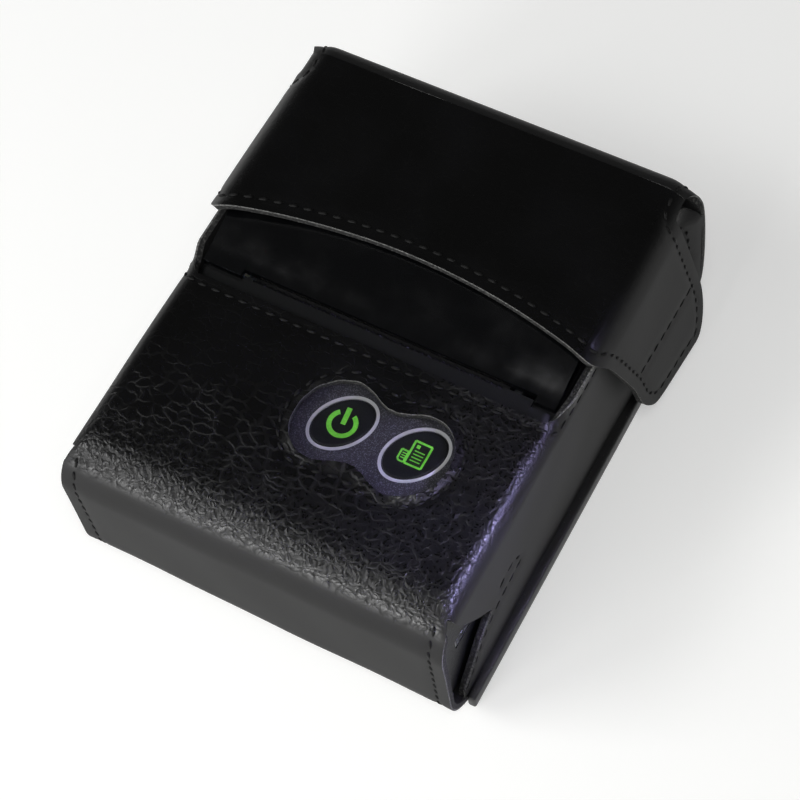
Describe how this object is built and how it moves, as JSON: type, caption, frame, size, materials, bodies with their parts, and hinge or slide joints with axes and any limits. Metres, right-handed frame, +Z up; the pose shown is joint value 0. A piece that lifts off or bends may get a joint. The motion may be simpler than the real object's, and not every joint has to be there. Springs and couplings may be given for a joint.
{
  "type": "portable thermal printer",
  "caption": "Pocket receipt printer in a sewn leather case: folding flap, smoked paper lid, roll, print mechanism, two keys and electronics.",
  "frame": {"origin": "centre of the case's footprint, on the surface it lies on", "axes": "+X to the right, +Y from the closed front to the flap end, +Z up out of the button face"},
  "size_m": [0.0968, 0.106, 0.048],
  "materials": {
    "leather": "satin",
    "base_cover": "matte",
    "fastener_tape": "matte",
    "housing_plastic": "satin",
    "faceplate_film": "satin",
    "silver_ring": "satin",
    "key_plastic": "satin",
    "circuit_board": "satin",
    "black_component": "matte",
    "smoked_plastic": "gloss",
    "steel": "brushed",
    "gear_plastic": "satin",
    "platen_rubber": "matte",
    "zinc_sheet": "satin",
    "head_ceramic": "gloss",
    "heatsink_aluminium": "satin",
    "flex_film": "gloss",
    "dark_steel": "satin",
    "brass": "satin",
    "thermal_paper": "matte",
    "core_board": "matte",
    "module_board": "satin",
    "battery_wrap": "gloss"
  },
  "bodies": {
    "printer": {"case_pouch": "leather", "case_base_board": "base_cover", "loop_patches": "fastener_tape", "lower_housing": "housing_plastic", "upper_housing": "housing_plastic", "battery_door": "housing_plastic", "button_faceplate": "faceplate_film", "power_ring": "silver_ring", "feed_ring": "silver_ring", "button_board": "circuit_board", "tact_switches": "black_component", "lid_hinge_pins": "steel", "mech_frame": "zinc_sheet", "thermal_head": "head_ceramic", "head_heatsink": "heatsink_aluminium", "head_pin": "steel", "head_springs": "steel", "head_flex": "flex_film", "tear_blade": "dark_steel", "stepper_motor": "zinc_sheet", "idler_pin": "steel", "paper_sensor": "black_component", "paper_cradle": "housing_plastic", "main_board": "circuit_board", "board_chips": "black_component", "wireless_module": "module_board", "usb_socket": "steel", "battery_pack": "battery_wrap", "battery_contacts": "brass", "housing_screws": "dark_steel", "mech_screws": "steel", "board_screws": "steel"},
    "back": {"case_back": "leather"},
    "flap": {"case_flap": "leather", "hook_patches": "fastener_tape"},
    "lid": {"paper_lid": "smoked_plastic", "platen_bushings": "gear_plastic"},
    "platen": {"platen_shaft": "steel", "platen_rubber": "platen_rubber", "platen_gear": "gear_plastic"},
    "idler": {"idler_gear": "gear_plastic"},
    "pinion": {"motor_pinion": "brass"},
    "roll": {"paper_roll": "thermal_paper", "paper_core": "core_board"},
    "power_button": {"power_key": "key_plastic"},
    "feed_button": {"feed_key": "key_plastic"}
  },
  "joints": [
    {"name": "back_fold", "type": "hinge", "parent": "printer", "child": "back", "pos_m": [0, 0.05241, 0.00059], "axis": [-1, 0, 0], "range_deg": [0, 90]},
    {"name": "flap_fold", "type": "hinge", "parent": "back", "child": "flap", "pos_m": [0, 0.05183, 0.04683], "axis": [-1, 0, 0], "range_deg": [0, 90]},
    {"name": "lid_hinge", "type": "hinge", "parent": "printer", "child": "lid", "pos_m": [0, 0.0462, 0.0413], "axis": [-1, 0, 0], "range_deg": [0, 81]},
    {"name": "platen_spin", "type": "hinge", "parent": "lid", "child": "platen", "pos_m": [0, 0.0046, 0.0364], "axis": [1, 0, 0], "continuous": true},
    {"name": "idler_spin", "type": "hinge", "parent": "printer", "child": "idler", "pos_m": [0, 0.0046, 0.0254], "axis": [1, 0, 0], "continuous": true},
    {"name": "pinion_spin", "type": "hinge", "parent": "printer", "child": "pinion", "pos_m": [0, -0.00212, 0.01868], "axis": [1, 0, 0], "continuous": true},
    {"name": "roll_spin", "type": "hinge", "parent": "printer", "child": "roll", "pos_m": [0, 0.0296, 0.0226], "axis": [1, 0, 0], "continuous": true},
    {"name": "power_press", "type": "slide", "parent": "printer", "child": "power_button", "axis": [0, 0, 1], "range_m": [-0.0006, 0], "stiffness_N_per_m": 400, "springref_m": 0.0002},
    {"name": "feed_press", "type": "slide", "parent": "printer", "child": "feed_button", "axis": [0, 0, 1], "range_m": [-0.0006, 0], "stiffness_N_per_m": 400, "springref_m": 0.0002}
  ],
  "couplings": [
    {"joint": "lid_hinge", "follows": "flap_fold", "ratio": 0.9},
    {"joint": "idler_spin", "follows": "platen_spin", "ratio": -0.69231},
    {"joint": "pinion_spin", "follows": "platen_spin", "ratio": 1.5}
  ]
}
